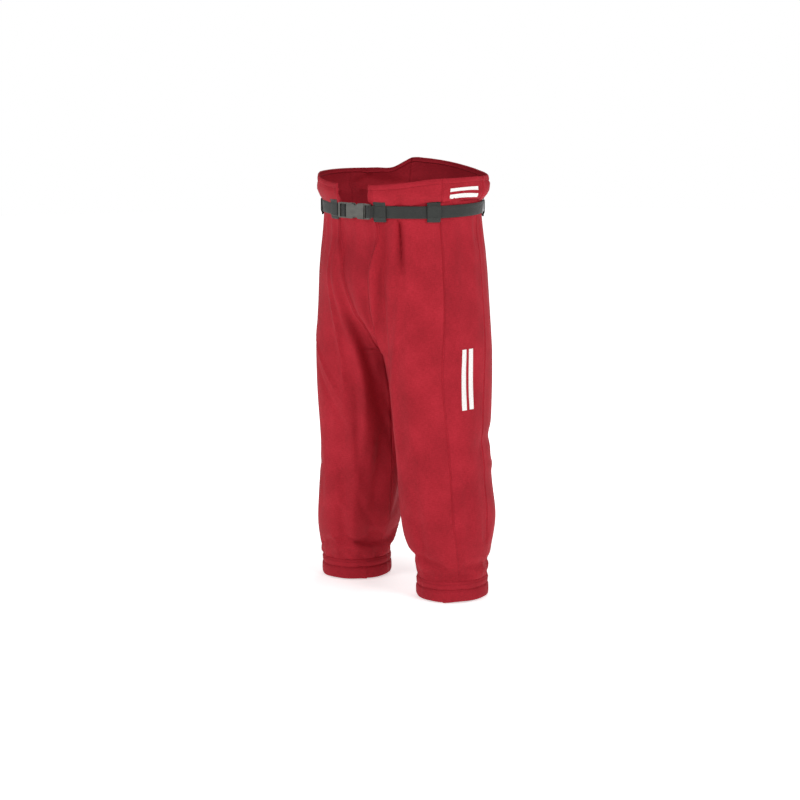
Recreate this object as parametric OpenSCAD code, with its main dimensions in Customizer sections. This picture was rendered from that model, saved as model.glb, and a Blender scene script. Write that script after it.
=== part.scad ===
// Knee-length hockey shell pants with a webbing belt and a side-release buckle.
// Origin: centre of the waist at the middle of the belt. +Z up, front faces -Y, wearer's left is +X.

/* [Waist] */
// Half width of the shell at the belt
waist_half_w = 142; // [128:1:156]
// Half depth of the shell at the belt
waist_half_d = 117; // [105:1:129]
// Height of the front flaps above the middle of the belt
flap_h = 50; // [42:1:58]
// Height of the waist edge at the sides
side_h = 57; // [50:1:62]
// Height of the raised centre back
back_h = 78; // [70:1:86]
// Half width of the open slot between the front flaps
slot_half_w = 30; // [26:1:34]

/* [Shell] */
// Thickness of the shell stand-in
shell_t = 2.2; // [1.8:0.1:2.6]
// Depth of the crotch below the middle of the belt
crotch_drop = 240; // [230:1:245]
// Where the rise starts to curve in towards the crotch
rise_start = 120; // [110:1:130]
// Width of the stitched hems
hem_w = 9; // [7:0.5:11]
// How far a hem stands out from the shell
hem_out = 0.7; // [0.4:0.1:1]

/* [Legs] */
// Depth of the leg's lower edge below the belt
hem_drop = 650; // [640:1:670]
// Height of the cuff casing
cuff_h = 35; // [30:1:40]
// Depth at which the two inner leg seams meet
gusset_drop = 535; // [500:5:560]

/* [Hip joint] */
// Depth of the hip axis below the belt
hip_drop = 95; // [92:1:98]
// Radius of the cylinder that parts hip and leg
hip_r = 165; // [164:0.5:167]
// Clearance on each side of that cylinder
hip_gap = 0.4; // [0.3:0.1:0.8]

/* [Belt] */
// Width of the webbing
web_w = 20; // [18:0.5:22]
// Thickness of the webbing
web_t = 1.6; // [1.2:0.1:1.8]
// Width of a belt loop
loop_w = 22; // [18:1:26]
// Height of a belt loop
loop_h = 34; // [31:1:36]

/* [Buckle] */
// Height of the buckle
buckle_h = 25; // [24:0.5:27]
// Thickness of the buckle housing
buckle_t = 8.6; // [8.2:0.1:9]
// How far the housing's body is long
body_l = 37; // [35:1:38]
// Thickness of the adjuster frame
frame_t = 5; // [4.5:0.1:5.4]

/* [Hidden] */
$fn = 48;

red = [0.62, 0.10, 0.15];
dark_red = [0.50, 0.08, 0.12];
charcoal = [0.20, 0.21, 0.20];
grey = [0.36, 0.38, 0.36];
cream = [0.85, 0.83, 0.78];

// A seam's half gap, as a share of half the way round
seam = 0.0011;
// Height left between a panel and the hem above it
panel_gap = 1;
// The flat stretch of shell behind the belt, either side of its middle
belt_flat = 18;
// Shares of the way from the front centre (0) over the side to the back centre (1)
slot_s = asin(slot_half_w / waist_half_w) / 180;
front_s = 0.098;
side_s = 0.35;
rear_s = 0.57;
ramp_s = 0.788;
raise_s = 0.844;
hem_s = hem_w / 485;

function mix(a, b, t) = a + (b - a) * t;
function clamp(t) = min(1, max(0, t));
function ease(t) = let (c = clamp(t)) c * c * (3 - 2 * c);

// Half width and half depth of the trunk at height z
function trunk_a(z) = waist_half_w + (z > 0 ? 12 * ease((z - belt_flat) / 30)
  : 13 * ease((-z - belt_flat) / 80) + 12 * clamp((-z - 90) / 150));
function trunk_b(z) = waist_half_d + (z > 0 ? 9 * ease((z - belt_flat) / 30)
  : 15 * ease((-z - belt_flat) / 130));

// Centre, half width and half depth of a leg at height z
function leg_x(z) = lookup(z, [[-660, 115], [-585, 109], [-500, 102], [-413, 92], [-240, 83]]);
function leg_a(z) = lookup(z, [[-660, 56], [-615, 57], [-585, 61], [-500, 73], [-413, 79], [-240, 82]]);
function leg_b(z) = lookup(z, [[-660, 60], [-615, 61], [-585, 68], [-500, 84], [-413, 91], [-240, 108]]);

// How far a section has turned from one trunk into two legs
function part_w(z) = let (t = clamp((-z - rise_start) / (crotch_drop - rise_start))) 1 - sqrt(1 - t * t);

// A point of the left half: s runs from front centre to back centre, out is the offset from the shell
function skin(s, z, out = 0) =
  let (w = part_w(z), f = 180 * s - 90, g = 360 * s - 180)
  [
    mix((trunk_a(z) + out) * cos(f), leg_x(z) + (leg_a(z) + out) * cos(g), w),
    mix((trunk_b(z) + out) * sin(f), (leg_b(z) + out) * sin(g), w),
    z
  ];

function from_hip(p) = norm([p[1], p[2] + hip_drop]);
// First height, going down, where the shell leaves the hip cylinder, for s given by the function sf
function hip_edge(sf, z = -100) =
  from_hip(skin(sf(z - 1), z - 1)) > hip_r - hip_gap ? z : hip_edge(sf, z - 1);
// Last height, going up, where the shell is still outside the hip cylinder
function leg_edge(sf, out, z = -290) =
  from_hip(skin(sf(z + 0.5), z + 0.5, out)) < hip_r + hip_gap ? z : leg_edge(sf, out, z + 0.5);

// Height of the waist edge at s
function top_z(s) = mix(flap_h, side_h, ease((s - slot_s) / (side_s - slot_s)))
  + (back_h - side_h) * ease((s - ramp_s) / (raise_s - ramp_s));

// Seams of the centre front and centre back panels
function front_seam(z) = mix(front_s, 0.02, ease(-z / crotch_drop));
function back_seam(z) = mix(raise_s, 0.97, ease(-z / crotch_drop));
// Front edge of the front panel: the slot above the belt, the centre seam below it
function front_edge(z) = mix(front_seam(z), slot_s + hem_s, clamp((z - 4) / 8));
// Half the width of the inner leg gusset
function gusset_s(z) = 0.07 * clamp((gusset_drop + z) / (gusset_drop - crotch_drop));

// A curved sheet with thickness: outer(u, v) and inner(u, v) give its two faces
module curved_sheet(nu, nv, outer, inner) {
  row = nu + 1;
  count = row * (nv + 1);
  points = concat(
    [for (j = [0 : nv], i = [0 : nu]) outer(i / nu, j / nv)],
    [for (j = [0 : nv], i = [0 : nu]) inner(i / nu, j / nv)]
  );
  face_out = [for (j = [0 : nv - 1], i = [0 : nu - 1], k = [0, 1]) let (p = j * row + i)
    k == 0 ? [p, p + 1, p + row + 1] : [p, p + row + 1, p + row]];
  face_in = [for (f = face_out) [f[2] + count, f[1] + count, f[0] + count]];
  rim = concat(
    [for (i = [0 : nu - 1]) i],
    [for (j = [0 : nv - 1]) j * row + nu],
    [for (i = [nu : -1 : 1]) nv * row + i],
    [for (j = [nv : -1 : 1]) j * row]
  );
  n = len(rim);
  side = [for (i = [0 : n - 1], k = [0, 1]) let (a = rim[i], b = rim[(i + 1) % n])
    k == 0 ? [b, a, a + count] : [b, a + count, b + count]];
  polyhedron(points = points, faces = concat(face_out, face_in, side));
}

// Heights of a panel's rows, closer together where the shell curves in towards the crotch
function fall(top, low, v) = v < 0.5 ? mix(top, -rise_start, 2 * v)
  : mix(-rise_start, low, sin(89 * (2 * v - 1)));

// A panel of the hip: from just under its hem down to the hip cylinder, between two seams
module hip_panel(nu, nv, first, last) {
  sf = function(u) function(z) mix(first(z) + seam, last(z) - seam, u);
  tops = [for (i = [0 : nu]) top_z(sf(i / nu)(side_h)) - hem_w - panel_gap];
  lows = [for (i = [0 : nu]) hip_edge(sf(i / nu))];
  face = function(out) function(u, v)
    let (i = round(u * nu), z = fall(tops[i], lows[i], v)) skin(sf(u)(z), z, out);
  curved_sheet(nu, nv, face(0), face(-shell_t));
}

// A panel of the leg: from the hip cylinder down to the depth low, between two seams
module leg_panel(nu, nv, first, last, low) {
  sf = function(u) function(z) mix(first(z) + seam, last(z) - seam, u);
  face = function(out) let (tops = [for (i = [0 : nu]) leg_edge(sf(i / nu), out)]) function(u, v)
    let (z = mix(tops[round(u * nu)], low, v)) skin(sf(u)(z), z, out);
  curved_sheet(nu, nv, face(0), face(-shell_t));
}

// A panel across the middle, from the height top, curving in to the crotch; half(z) is its half width
module rise_panel(nu, nv, top, half, back) {
  face = function(out) function(u, v)
    let (
      z = fall(top, -crotch_drop, v),
      k = back ? 1 - 2 * u : 2 * u - 1,
      s = abs(k) * half(z),
      p = skin(back ? 1 - s : s, z, out)
    )
    [sign(k) * p[0], p[1], z - out * part_w(z)];
  curved_sheet(nu, nv, face(0), face(-shell_t));
}

// A folded hem along the waist edge between two seams
module waist_hem(nu, first, last) {
  face = function(out) function(u, v)
    let (s = mix(first + seam, last - seam, u)) skin(s, top_z(s) - hem_w * v, out);
  curved_sheet(nu, 1, face(hem_out), face(-shell_t));
}

function side_seam(z) = mix(side_s, 0.39, clamp((-z - 90) / 270));
function rear_seam(z) = mix(rear_s, 0.53, clamp((-z - 60) / 250));

// ---- shell of the hips ----

module front_panel() color(red)
  hip_panel(14, 20, function(z) front_edge(z), function(z) side_seam(z));

module side_panel() color(dark_red)
  hip_panel(8, 16, function(z) side_seam(z), function(z) rear_seam(z));

module seat_panel() color(red)
  hip_panel(20, 20, function(z) rear_seam(z), function(z) back_seam(z));

module front_panel_left() front_panel();
module front_panel_right() mirror([1, 0, 0]) front_panel();
module side_panel_left() side_panel();
module side_panel_right() mirror([1, 0, 0]) side_panel();
module seat_panel_left() seat_panel();
module seat_panel_right() mirror([1, 0, 0]) seat_panel();

module centre_front_panel() color(dark_red)
  rise_panel(10, 20, -web_w / 2 + 1, function(z) front_seam(z) - seam, false);

module centre_back_panel() color(dark_red)
  rise_panel(12, 20, back_h - hem_w - panel_gap, function(z) 1 - back_seam(z) - seam, true);

// ---- hems ----

module waist_hem_left() color(dark_red) waist_hem(48, slot_s, raise_s);
module waist_hem_right() color(dark_red) mirror([1, 0, 0]) waist_hem_left();

module waist_hem_back() color(dark_red) {
  face = function(out) function(u, v)
    let (k = 1 - 2 * u, p = skin(1 - abs(k) * (1 - raise_s - seam), back_h - hem_w * v, out))
    [sign(k) * p[0], p[1], p[2]];
  curved_sheet(12, 1, face(hem_out), face(-shell_t));
}

module flap_hem_left() color(dark_red) {
  face = function(out) function(u, v)
    skin(mix(slot_s + seam, slot_s + hem_s - seam, u), mix(flap_h - hem_w - 0.3, 12, v), out);
  curved_sheet(1, 5, face(hem_out), face(-shell_t));
}
module flap_hem_right() mirror([1, 0, 0]) flap_hem_left();

// ---- legs ----

leg_low = cuff_h - hem_drop + 0.3;

module leg_front_left() color(red)
  leg_panel(14, 14, function(z) gusset_s(z), function(z) side_seam(z), leg_low);
module leg_side_left() color(dark_red)
  leg_panel(7, 14, function(z) side_seam(z), function(z) rear_seam(z), leg_low);
module leg_back_left() color(red)
  leg_panel(14, 14, function(z) rear_seam(z), function(z) 1 - gusset_s(z), leg_low);
module leg_gusset_left() color(dark_red)
  leg_panel(6, 10, function(z) -gusset_s(z), function(z) gusset_s(z), 8 - gusset_drop);
module leg_front_right() mirror([1, 0, 0]) leg_front_left();
module leg_side_right() mirror([1, 0, 0]) leg_side_left();
module leg_back_right() mirror([1, 0, 0]) leg_back_left();
module leg_gusset_right() mirror([1, 0, 0]) leg_gusset_left();

// ---- cuffs ----

cuff_x = leg_x(cuff_h / 2 - hem_drop);
cuff_a = leg_a(cuff_h - hem_drop) + hem_out;
cuff_b = leg_b(cuff_h - hem_drop) + hem_out;
cuff_wall = 1.4;
elastic_t = 1.4;
elastic_w = 18;
elastic_gap = 0.2;
cuff_inner = 2 * cuff_wall + elastic_t + 2 * elastic_gap;

module oval(a, b) polygon([for (i = [0 : 59]) [a * cos(6 * i), b * sin(6 * i)]]);

// An oval band between two insets, from the height low up to the height high
module band(inset, depth, low, high) translate([cuff_x, 0, low]) linear_extrude(high - low) difference() {
  oval(cuff_a - inset, cuff_b - inset);
  oval(cuff_a - depth, cuff_b - depth);
}

// A turned-up casing with a sealed channel for the elastic
module cuff_left() color(red) difference() {
  band(0, cuff_inner, -hem_drop, cuff_h - hem_drop);
  band(cuff_wall, cuff_inner - cuff_wall, cuff_wall - hem_drop, cuff_wall - hem_drop + elastic_w + 0.6);
}
module cuff_elastic_left() color(cream)
  band(cuff_wall + elastic_gap, cuff_wall + elastic_gap + elastic_t,
    cuff_wall + 0.3 - hem_drop, cuff_wall + 0.3 - hem_drop + elastic_w);
module cuff_right() mirror([1, 0, 0]) cuff_left();
module cuff_elastic_right() mirror([1, 0, 0]) cuff_elastic_left();

// ---- belt ----

web_gap = 1;
web_out = web_gap + web_t;
// Where the webbing starts behind the housing's end bar and ends behind the adjuster
web_first_x = 39.5;
web_last_x = -14;

function waist_point(angle, out) = [(waist_half_w + out) * cos(angle), (waist_half_d + out) * sin(angle)];
function waist_angle(x) = asin(x / waist_half_w) - 90;

module belt_webbing() color(charcoal) {
  first = waist_angle(web_first_x);
  sweep = 360 + waist_angle(web_last_x) - first;
  steps = 72;
  translate([0, 0, -web_w / 2]) linear_extrude(web_w) polygon(concat(
    [for (i = [0 : steps]) waist_point(first + sweep * i / steps, web_out)],
    [for (i = [steps : -1 : 0]) waist_point(first + sweep * i / steps, web_gap)]
  ));
}

// A strap sewn to the shell above and below the webbing, at an angle round the waist
module belt_loop(angle) color(charcoal) {
  strap_t = 1.4;
  reach = web_out + 0.6;
  turn = atan2(sin(angle) / waist_half_d, cos(angle) / waist_half_w);
  p = waist_point(angle, 0);
  translate([p[0], p[1], 0]) rotate([0, 0, turn]) difference() {
    translate([web_gap, -loop_w / 2, -loop_h / 2]) cube([reach + strap_t - web_gap, loop_w, loop_h]);
    translate([0, -loop_w, -web_w / 2 - 0.8]) cube([reach, 2 * loop_w, web_w + 1.6]);
  }
}
loop_front = -70;
loop_side = -32;
loop_rear = 36;
module belt_loop_front_left() belt_loop(loop_front);
module belt_loop_front_right() belt_loop(180 - loop_front);
module belt_loop_side_left() belt_loop(loop_side);
module belt_loop_side_right() belt_loop(180 - loop_side);
module belt_loop_rear_left() belt_loop(loop_rear);
module belt_loop_rear_right() belt_loop(180 - loop_rear);
module belt_loop_back() belt_loop(90);

// ---- buckle ----

// Middle of the buckle's thickness
buckle_y = -waist_half_d - 1 - buckle_t / 2;
mouth_x = -11.5;
body_end = mouth_x + body_l;
cavity_h = 21.2;
cavity_t = 5.2;
cavity_end = 19;
notch_x = 7;
notch_r = 7.5;
slot_h = 21.2;
bar_end = 36.5;
bar_start = 31.3;
frame_x = -31;
flange_x = -11.8;
adjust_bar = [-23.2, -16.8];
arm_t = 4.4;

// Points of a rectangle with round corners
function rounded(x0, x1, half, r) = [
  for (c = [[x1 - r, half - r, 0], [x0 + r, half - r, 90], [x0 + r, r - half, 180], [x1 - r, r - half, 270]])
    for (i = [0 : 4]) [c[0] + r * cos(c[2] + 22.5 * i), c[1] + r * sin(c[2] + 22.5 * i)]
];
// A flat shape drawn in X and Z, with the thickness t about the buckle's middle
module plate(t) translate([0, buckle_y, 0]) rotate([90, 0, 0]) linear_extrude(t, center = true) children();

module buckle_housing() color(grey) difference() {
  union() {
    plate(buckle_t) difference() {
      polygon(rounded(mouth_x, body_end, buckle_h / 2, 2));
      for (side = [-1, 1]) translate([notch_x, side * (buckle_h / 2 + 4)]) circle(notch_r);
    }
    plate(frame_t) difference() {
      polygon(rounded(body_end - 4, bar_end, buckle_h / 2, 2));
      translate([body_end + 1.8, -slot_h / 2]) square([bar_start - body_end - 1.8, slot_h]);
    }
  }
  translate([mouth_x - 1, buckle_y - cavity_t / 2, -cavity_h / 2])
    cube([cavity_end - mouth_x + 1, cavity_t, cavity_h]);
}

// Webbing turned round a bar that runs from x0 to x1 and is bar_t thick
module webbing_turn(x0, x1, bar_t, wall) color(charcoal) translate([0, 0, -web_w / 2]) difference() {
  translate([x0 - 0.3 - wall, buckle_y - bar_t / 2 - 0.3 - wall, 0])
    cube([x1 - x0 + 0.6 + 2 * wall, bar_t + 0.6 + 2 * wall, web_w]);
  translate([x0 - 0.3, buckle_y - bar_t / 2 - 0.3, -1]) cube([x1 - x0 + 0.6, bar_t + 0.6, web_w + 2]);
}
module housing_webbing_turn() webbing_turn(bar_start, bar_end, frame_t, 1.2);

adjust_bar_t = 2.4;
module buckle_insert() color(grey) {
  difference() {
    plate(frame_t) difference() {
      polygon(rounded(frame_x, flange_x, buckle_h / 2, 2));
      translate([adjust_bar[0] - 4, -slot_h / 2]) square([4, slot_h]);
      translate([adjust_bar[1], -slot_h / 2]) square([3.2, slot_h]);
    }
    for (side = [-1, 1])
      translate([adjust_bar[0] - 1, buckle_y + side * (adjust_bar_t / 2 + 2) - 2, -slot_h / 2])
        cube([adjust_bar[1] - adjust_bar[0] + 2, 4, slot_h]);
  }
  plate(arm_t) translate([flange_x - 1, -2.5]) square([17 - flange_x, 5]);
}
module adjuster_webbing_turn() webbing_turn(adjust_bar[0], adjust_bar[1], adjust_bar_t, 1.2);

// A springy side arm with the rounded wing that is squeezed
module buckle_prong_upper() color(grey) plate(arm_t) polygon([
  [-11.4, 6.3], [-11.4, 8.7], [0, 8.7], [2.5, 9.4], [4.5, 10], [7, 10.3], [9.5, 10.1], [12, 9.5],
  [14, 8.6], [14.8, 7.6], [14.4, 6.7], [13, 6.3]
]);
module buckle_prong_lower() mirror([0, 0, 1]) buckle_prong_upper();

front_panel_left();
front_panel_right();
side_panel_left();
side_panel_right();
seat_panel_left();
seat_panel_right();
centre_front_panel();
centre_back_panel();
waist_hem_left();
waist_hem_right();
waist_hem_back();
flap_hem_left();
flap_hem_right();
leg_front_left();
leg_front_right();
leg_side_left();
leg_side_right();
leg_back_left();
leg_back_right();
leg_gusset_left();
leg_gusset_right();
cuff_left();
cuff_right();
cuff_elastic_left();
cuff_elastic_right();
belt_webbing();
belt_loop_front_left();
belt_loop_front_right();
belt_loop_side_left();
belt_loop_side_right();
belt_loop_rear_left();
belt_loop_rear_right();
belt_loop_back();
buckle_housing();
housing_webbing_turn();
buckle_insert();
adjuster_webbing_turn();
buckle_prong_upper();
buckle_prong_lower();
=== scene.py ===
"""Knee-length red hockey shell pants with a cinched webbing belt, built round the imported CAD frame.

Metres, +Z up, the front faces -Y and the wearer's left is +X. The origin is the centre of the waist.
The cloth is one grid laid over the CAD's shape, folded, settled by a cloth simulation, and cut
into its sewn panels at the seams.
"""

import math

import bpy
import numpy as np
from mathutils import Matrix, Vector


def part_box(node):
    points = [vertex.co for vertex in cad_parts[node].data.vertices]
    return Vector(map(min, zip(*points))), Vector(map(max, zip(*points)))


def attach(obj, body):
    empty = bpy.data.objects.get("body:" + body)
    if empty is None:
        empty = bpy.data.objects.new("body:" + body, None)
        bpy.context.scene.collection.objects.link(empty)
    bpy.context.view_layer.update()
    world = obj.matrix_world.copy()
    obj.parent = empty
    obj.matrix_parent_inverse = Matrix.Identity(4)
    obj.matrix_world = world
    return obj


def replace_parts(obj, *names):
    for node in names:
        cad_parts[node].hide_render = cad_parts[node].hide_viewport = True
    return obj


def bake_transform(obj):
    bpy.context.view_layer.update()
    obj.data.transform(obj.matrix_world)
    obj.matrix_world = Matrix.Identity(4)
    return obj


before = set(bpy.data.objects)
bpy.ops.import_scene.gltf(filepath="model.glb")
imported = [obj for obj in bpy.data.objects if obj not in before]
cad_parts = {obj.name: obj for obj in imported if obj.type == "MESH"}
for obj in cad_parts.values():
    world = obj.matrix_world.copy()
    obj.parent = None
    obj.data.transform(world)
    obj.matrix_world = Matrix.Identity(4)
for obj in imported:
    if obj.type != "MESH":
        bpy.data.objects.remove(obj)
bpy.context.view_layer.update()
MM = 0.001

# ---- dimensions, taken from the frame

belt_low, belt_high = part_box("belt_webbing")
cuff_low, cuff_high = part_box("cuff_left")
back_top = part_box("waist_hem_back")[1][2]
flap_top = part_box("flap_hem_left")[1][2] + 9.3 * MM
slot_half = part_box("flap_hem_left")[0][0]
housing_low, housing_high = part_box("buckle_housing")

WEB_T = 1.6 * MM
WEB_GAP = 1.0 * MM
WEB_W = belt_high[2] - belt_low[2]
WAIST_A = belt_high[0] - WEB_T - WEB_GAP
WAIST_B = belt_high[1] - WEB_T - WEB_GAP
HEM_W = 9 * MM
SIDE_TOP = 60 * MM
CROTCH = -0.24
RISE = -0.12  # the trunk starts to part into two legs here
GUSSET_END = -0.535
CUFF_TOP = cuff_high[2]
HEM_Z = cuff_low[2]

# Places round one half of the waist: 0 at the front centre, 1 at the back centre
SLOT_S = math.degrees(math.asin(slot_half / WAIST_A)) / 180
RAISE_S = 0.844
WAIST_HALF_MM = 485
LOOP_WIDTH = 22 * MM
STITCH_OUT = 0.12 * MM
HEM_SEAM = 8.6
HEM_FOLD = 8.2

SIDES = {"left": 1, "right": -1}


# ---- small maths

def ease(t):
    """0 to 1 as t goes from 0 to 1, with soft ends."""
    t = np.clip(t, 0, 1)
    return t * t * (3 - 2 * t)


def curve(x, knots):
    """A smooth curve through knots (x, y) with rising x, by cubic Hermite pieces."""
    kx, ky = np.array(knots, float).T
    slope = np.gradient(ky, kx)
    x = np.clip(x, kx[0], kx[-1])
    i = np.clip(np.searchsorted(kx, x) - 1, 0, len(kx) - 2)
    h = kx[i + 1] - kx[i]
    t = (x - kx[i]) / h
    return (
        (2 * t**3 - 3 * t**2 + 1) * ky[i]
        + (t**3 - 2 * t**2 + t) * h * slope[i]
        + (3 * t**2 - 2 * t**3) * ky[i + 1]
        + (t**3 - t**2) * h * slope[i + 1]
    )


def bump(x, width):
    """1 at x = 0, fading to 0 on both sides."""
    return np.exp(-((x / width) ** 2))


def unit(v):
    return v / np.maximum(np.linalg.norm(v, axis=-1, keepdims=True), 1e-15)


# ---- the shell's shape

def trunk(z):
    """Half width and half depth of the trunk's ellipse at height z."""
    up = np.clip((z - 0.006) / 0.03, 0, 1)
    flare = ease(up) * 13 * MM - ease((z - 0.04) / 0.03) * 2 * MM
    down = np.clip(-z - 0.01, 0, None)
    a = WAIST_A + flare + 13 * MM * ease(down / 0.07) + 12 * MM * np.clip((-z - 0.08) / 0.16, 0, 1)
    b = WAIST_B + 0.75 * flare + 15 * MM * ease(down / 0.11)
    return a, b


def leg(z, side):
    """The leg's ellipse at height z: its centre's x, half width, half depth, and its centre's y."""
    right = side < 0
    knee = bump(z + 0.47, 0.09) * right
    x = curve(z, [(-0.66, 0.115), (-0.585, 0.1095), (-0.5, 0.102), (-0.413, 0.0915), (-0.32, 0.0855),
            (-0.24, 0.0835)])
    a = curve(z, [(-0.66, 0.0555), (-0.615, 0.0572), (-0.585, 0.0622), (-0.545, 0.0705), (-0.5, 0.0745),
            (-0.413, 0.0785), (-0.32, 0.081), (-0.24, 0.0825)]) - 3 * MM * knee
    b = curve(z, [(-0.66, 0.059), (-0.615, 0.0608), (-0.585, 0.069), (-0.545, 0.08), (-0.5, 0.0855),
            (-0.413, 0.0895), (-0.32, 0.1005), (-0.24, 0.108)]) - 5 * MM * knee
    back = (7 * right - 6) * MM * ease((-z - 0.3) / 0.3)
    return x, a, b, back


def skin(s, z, side):
    """Points of one half of the smooth shell: s runs from the front centre over the side to the back."""
    t = np.clip((RISE - z) / (RISE - CROTCH), 0, 1)
    fork = bump(np.minimum(s, 1 - s), 0.05)
    w = fork * (1 - np.sqrt(np.clip(1 - t * t, 0, 1))) + (1 - fork) * ease((-z - 0.085) / 0.25)
    f, g = np.pi * (s - 0.5), np.pi * (2 * s - 1)
    ta, tb = trunk(z)
    lx, la, lb, back = leg(z, side)
    x = (1 - w) * ta * np.cos(f) + w * (lx + la * np.cos(g))
    y = (1 - w) * tb * np.sin(f) + w * (lb * np.sin(g) + back)
    return np.stack([side * x, y, z], axis=-1)


def half_round(z):
    """Roughly how far it is round one half of the shell, in metres."""
    return np.where(z > CROTCH, 0.5, curve(z, [(-0.66, 0.365), (-0.5, 0.51), (-0.24, 0.63)]))


def top_edge(s, side):
    """Height of the waist edge: the raised back is steep on the wearer's right and slopes off to the left."""
    rise = ease((s - SLOT_S) / (0.35 - SLOT_S))
    across = side * (1 - s)
    raised = curve(across, [(-0.3, 0), (-0.225, 0.05), (-0.185, 0.6), (-0.158, 0.95), (-0.138, 1),
            (-0.1, 0.9), (-0.03, 0.72), (0.04, 0.52), (0.12, 0.28), (0.19, 0.1), (0.26, 0)])
    return flap_top + (SIDE_TOP - flap_top) * rise + (back_top - SIDE_TOP) * raised


def seams(z):
    """Where the seams lie at height z, from the front centre to the back centre."""
    z = np.asarray(z, float)
    first = curve(z, [(-0.535, 0.0), (-0.455, 0.018), (-0.36, 0.034), (-0.24, 0.04), (-0.225, 0.038),
            (-0.15, 0.054), (-0.09, 0.068), (-0.012, 0.09), (0.008, SLOT_S), (0.05, SLOT_S)])
    second = curve(z, [(-0.65, 0.396), (-0.5, 0.388), (-0.36, 0.388), (-0.2, 0.368), (-0.1, 0.353),
            (0.06, 0.348)])
    third = curve(z, [(-0.65, 0.53), (-0.46, 0.532), (-0.33, 0.53), (-0.2, 0.552), (-0.1, 0.568),
            (0.06, 0.574)])
    fourth = curve(z, [(-0.535, 1.0), (-0.455, 0.982), (-0.36, 0.966), (-0.24, 0.96), (-0.15, 0.925),
            (-0.06, 0.872), (0.0, RAISE_S), (0.08, RAISE_S)])
    return [0 * z, first, second, third, fourth, 0 * z + 1]


# Columns: for each panel the share of its width at each column, closer beside the seams
def panel_columns(count, edge=(0.012, 0.024)):
    inner = list(np.linspace(edge[-1], 1 - edge[-1], count))
    return [edge[0], *inner, 1 - edge[0], 1]


COLUMNS = [
    (0, 0.0),
    *[(0, t) for t in (0.12, 0.26, 0.4, 0.54, 0.68, 0.8, 0.9, 0.96, 1)],
    *[(1, t) for t in (0.01, 0.022, 0.04, 0.061)],
    *[(1, t) for t in np.linspace(0.088, 0.975, 35)],
    *[(1, t) for t in (0.988, 1)],
    *[(2, t) for t in panel_columns(18, (0.02, 0.05))],
    *[(3, t) for t in panel_columns(38)],
    *[(4, t) for t in (0.02, 0.05, 0.11, 0.18, 0.26, 0.34, 0.42, 0.5, 0.58, 0.66, 0.75, 0.83, 0.92, 1)],
]
PANEL_OF_COLUMN = np.array([k for k, _ in COLUMNS])
SHARE = np.array([t for _, t in COLUMNS])
SLOT_COLUMN = [i for i, c in enumerate(COLUMNS) if c == (0, 1)][0]
FLAP_COLUMN = SLOT_COLUMN + 4

# Rows: hem, flap, under the belt, rise, leg
HEM_ROWS = [0, 1.2, 3.4, 6.0, 8.0, 9.0]
HEM_ROW = len(HEM_ROWS) - 1
UPPER = 9
RISE_ROWS = 27
CURVE_ROWS = 32
LEG_ROWS = 84


def row_heights(s, side):
    """Heights of all rows at s: (rows, columns)."""
    top = top_edge(s, side)
    rows = [top - d * MM for d in HEM_ROWS]
    rows += [(top - 9 * MM) * (1 - t) for t in np.linspace(0, 1, UPPER + 1)[1:]]
    rows += [s * 0 + z for z in np.linspace(0, RISE, RISE_ROWS + 1)[1:]]
    centre = bump(s, 0.07) + bump(1 - s, 0.07)
    for t in np.linspace(0, 1, CURVE_ROWS + 1)[1:]:
        drop = (1 - centre) * t + centre * math.sin(math.pi / 2 * t)
        rows.append(RISE + (CROTCH - RISE) * drop)
    rows += [s * 0 + z for z in np.linspace(CROTCH, CUFF_TOP - 0.5 * MM, LEG_ROWS + 1)[1:]]
    return np.array(rows)


def make_grid(side):
    """(s, z) of every grid point of one half; the columns follow the seams."""
    s = np.zeros((0, len(COLUMNS)))
    guess = SHARE * 0 + np.array([k / 5 + t / 5 for k, t in COLUMNS])
    z = row_heights(guess, side)
    for _ in range(6):  # a row's height depends on s and the seams on height, so settle both
        lines = np.stack(seams(z))
        index = PANEL_OF_COLUMN[None, :].repeat(len(z), 0)
        low = np.take_along_axis(lines, index[None], 0)[0]
        high = np.take_along_axis(lines, index[None] + 1, 0)[0]
        s = low + (high - low) * SHARE
        z = np.stack([row_heights(s[j], side)[j] for j in range(len(z))])
    return s, z


CROTCH_ROW = HEM_ROW + UPPER + RISE_ROWS + CURVE_ROWS


# ---- the laid folds

def path_fold(s, z, points, width, height):
    """A fold along a path of (z, s) points: the height is reached in the middle and fades at the ends."""
    zs = sorted(points)
    lo, hi = zs[0][0], zs[-1][0]
    across = (s - curve(z, zs)) * half_round(z)
    along = np.clip((z - lo) / (hi - lo), 0, 1)
    fade = np.sqrt(np.clip(4 * along * (1 - along), 0, 1)) * ((z > lo) & (z < hi))
    return height * MM * fade * bump(across, width * MM)


def band_fold(s, z, points, width, height):
    """A fold that runs round the shell: points are (s, z)."""
    ps = sorted(points)
    lo, hi = ps[0][0], ps[-1][0]
    across = z - curve(s, ps)
    along = np.clip((s - lo) / (hi - lo), 0, 1)
    fade = np.clip(4 * along * (1 - along), 0, 1) * ((s > lo) & (s < hi))
    return height * MM * fade * bump(across, width * MM)


def hanging(s, z, s0, reach, width, height, lean):
    """A gather that starts at the belt and opens downwards."""
    start = -0.004
    depth = np.clip(start - z, 0, None)
    across = (s - s0 - lean * depth) * 0.5
    opened = width * MM * (1 + 2.2 * depth / reach)
    return height * MM * ease(depth / 0.012) * bump(across, opened) * bump(depth, reach) * (z < start)


def rising(s, z, s0, reach, width, height, lean, start):
    """A gather that starts at a lower seam (or at the belt) and opens upwards."""
    up = np.clip(z - start, 0, None)
    across = (s - s0 - lean * up) * half_round(z)
    opened = width * MM * (1 + 1.8 * up / reach)
    return height * MM * ease(up / 0.006) * bump(across, opened) * bump(up, reach) * (z >= start)


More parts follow.
